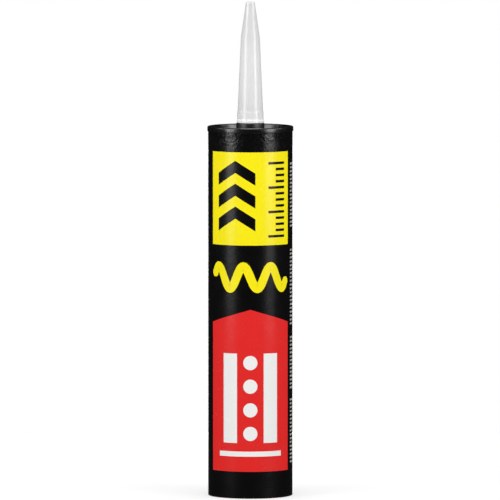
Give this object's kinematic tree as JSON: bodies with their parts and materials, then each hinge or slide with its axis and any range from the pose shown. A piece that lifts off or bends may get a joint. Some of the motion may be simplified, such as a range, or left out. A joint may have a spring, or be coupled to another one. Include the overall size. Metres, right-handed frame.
{
  "type": "construction adhesive cartridge",
  "caption": "Round fibre cartridge with a wrapped label, a seamed front end, a tapered closed nozzle and a sliding plunger that pushes the adhesive out.",
  "frame": {"origin": "centre of the tube's rear edge, which the cartridge stands on", "axes": "+Z along the tube towards the nozzle's tip, +X to the right of the label's front, +Y towards the label's lap at the back"},
  "size_m": [0.051, 0.051, 0.2925],
  "materials": {
    "fibre_tube": "wound kraft fibreboard with a foil-faced liner",
    "printed_label": "coated paper printed black, yellow and red, gloss varnished",
    "black_tinplate": "black lacquered tinplate, gloss",
    "nozzle_polyethylene": "moulded natural polyethylene, satin and translucent",
    "seal_foil": "bright foil",
    "plunger_polyethylene": "moulded natural polyethylene, satin",
    "adhesive_paste": "smooth tan paste"
  },
  "bodies": {
    "cartridge": {"tube": "fibre_tube", "label": "printed_label", "front_end": "black_tinplate", "nozzle": "nozzle_polyethylene", "foil_seal": "seal_foil", "adhesive": "adhesive_paste"},
    "plunger": {"plunger": "plunger_polyethylene"}
  },
  "joints": [
    {"name": "plunger_slide", "type": "slide", "parent": "cartridge", "child": "plunger", "axis": [0, 0, 1], "range_m": [0, 0.17], "deforming": ["adhesive"]}
  ]
}
